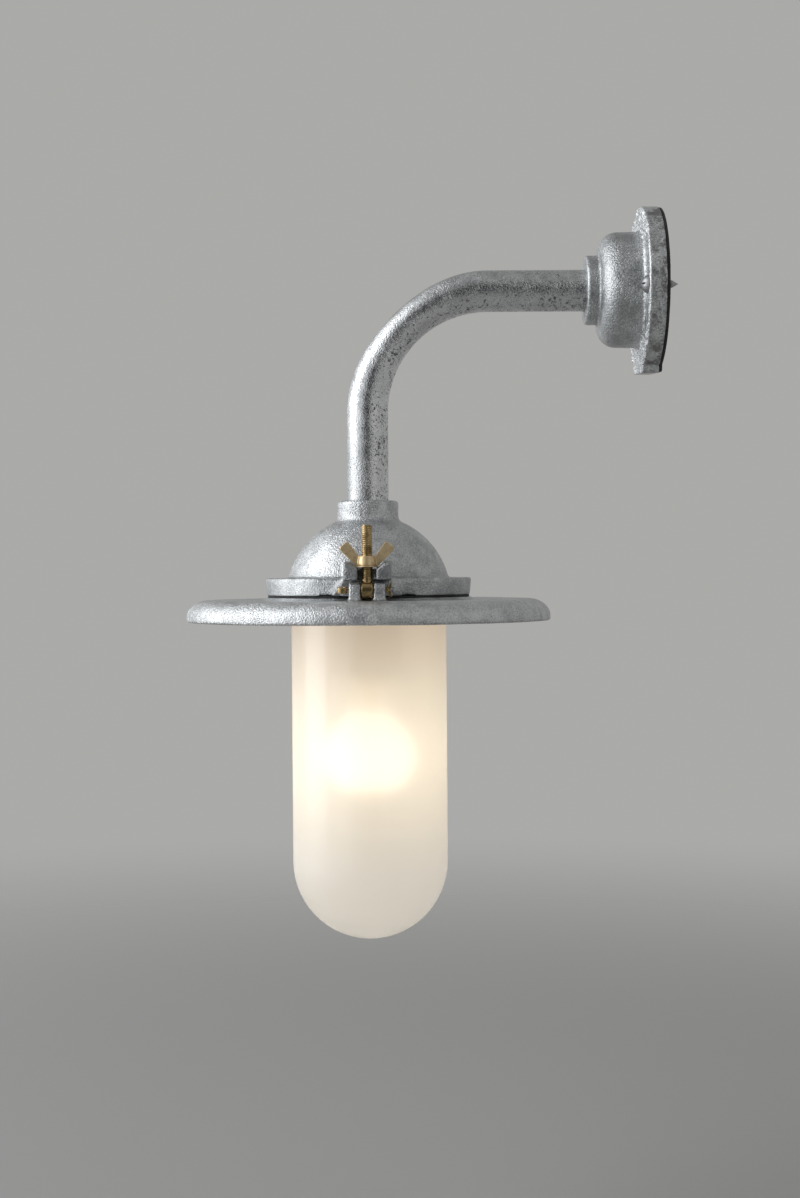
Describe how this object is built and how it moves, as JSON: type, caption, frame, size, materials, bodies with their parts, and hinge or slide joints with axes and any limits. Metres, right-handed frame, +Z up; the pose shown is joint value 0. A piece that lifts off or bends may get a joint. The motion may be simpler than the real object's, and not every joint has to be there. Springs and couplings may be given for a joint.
{
  "type": "outdoor bracket light",
  "caption": "Galvanised wall light: cup-shaped wall plate, bent pipe arm, domed cover, wide round visor and long frosted well glass closed by swing bolts with wing nuts.",
  "frame": {"origin": "centre of the wall-side face of the gasket, on the axis of the arm where it leaves the wall", "axes": "+X into the wall, +Z up, the lamp stands out along -X and hangs down, the closing seen in the picture is on -Y"},
  "size_m": [0.3143, 0.2366, 0.4749],
  "materials": {
    "zinc_casting": "hot-dip galvanised, satin",
    "zinc_pipe": "galvanised pipe, weathered",
    "zinc_steel": "zinc plated",
    "black_rubber": "matte",
    "porcelain": "glazed",
    "brass": "aged",
    "core_insulation": "silicone",
    "frosted_glass": "frosted",
    "lamp_glass": "opal",
    "cap_aluminium": "plain",
    "dark_insulator": "glossy",
    "solder": "dull"
  },
  "bodies": {
    "root": {"wall_plate": "zinc_casting", "wall_gasket": "black_rubber", "wall_screws": "zinc_steel", "terminal_block": "porcelain", "terminal_tubes": "brass", "terminal_screws": "zinc_steel", "earth_screw": "brass", "bracket_arm": "zinc_pipe", "core_leads": "core_insulation", "dome_cover": "zinc_casting", "dome_seal": "black_rubber", "lamp_bridge": "zinc_steel", "bridge_screws": "zinc_steel", "holder_nipple": "brass", "holder_nut": "brass", "holder_body": "porcelain", "holder_shell": "brass", "holder_contact": "brass", "lamp_envelope": "lamp_glass", "lamp_cap": "cap_aluminium", "lamp_insulator": "dark_insulator", "lamp_contact": "solder"},
    "glass_carrier": {"visor": "zinc_casting", "well_glass": "frosted_glass", "glass_seal_lower": "black_rubber", "glass_seal_upper": "black_rubber", "glass_ring": "zinc_steel", "ring_screws": "zinc_steel", "split_pin_front": "brass", "split_pin_rear": "brass"},
    "bolt_front": {"swing_bolt_front": "brass"},
    "washer_front": {"bolt_washer_front": "brass"},
    "nut_front": {"wing_nut_front": "brass"},
    "bolt_rear": {"swing_bolt_rear": "brass"},
    "washer_rear": {"bolt_washer_rear": "brass"},
    "nut_rear": {"wing_nut_rear": "brass"}
  },
  "joints": [
    {"name": "carrier_drop", "type": "slide", "parent": "root", "child": "glass_carrier", "axis": [0, 0, -1], "range_m": [0, 0.01524]},
    {"name": "bolt_front_swing", "type": "hinge", "parent": "glass_carrier", "child": "bolt_front", "pos_m": [-0.1903, -0.0745, -0.1935], "axis": [1, 0, 0], "range_deg": [0, 70]},
    {"name": "washer_front_rise", "type": "slide", "parent": "bolt_front", "child": "washer_front", "axis": [0, 0, 1], "range_m": [0, 0.01524]},
    {"name": "nut_front_turn", "type": "hinge", "parent": "washer_front", "child": "nut_front", "pos_m": [-0.1903, -0.0745, -0.1787], "axis": [0, 0, 1], "range_deg": [0, 4320]},
    {"name": "bolt_rear_swing", "type": "hinge", "parent": "glass_carrier", "child": "bolt_rear", "pos_m": [-0.1903, 0.0745, -0.1935], "axis": [-1, 0, 0], "range_deg": [0, 70]},
    {"name": "washer_rear_rise", "type": "slide", "parent": "bolt_rear", "child": "washer_rear", "axis": [0, 0, 1], "range_m": [0, 0.01524]},
    {"name": "nut_rear_turn", "type": "hinge", "parent": "washer_rear", "child": "nut_rear", "pos_m": [-0.1903, 0.0745, -0.1787], "axis": [0, 0, 1], "range_deg": [0, 4320]}
  ],
  "couplings": [
    {"joint": "washer_front_rise", "follows": "carrier_drop", "ratio": 1},
    {"joint": "nut_front_turn", "follows": "carrier_drop", "rad_per_m": 4947.4},
    {"joint": "washer_rear_rise", "follows": "carrier_drop", "ratio": 1},
    {"joint": "nut_rear_turn", "follows": "carrier_drop", "rad_per_m": 4947.4}
  ]
}
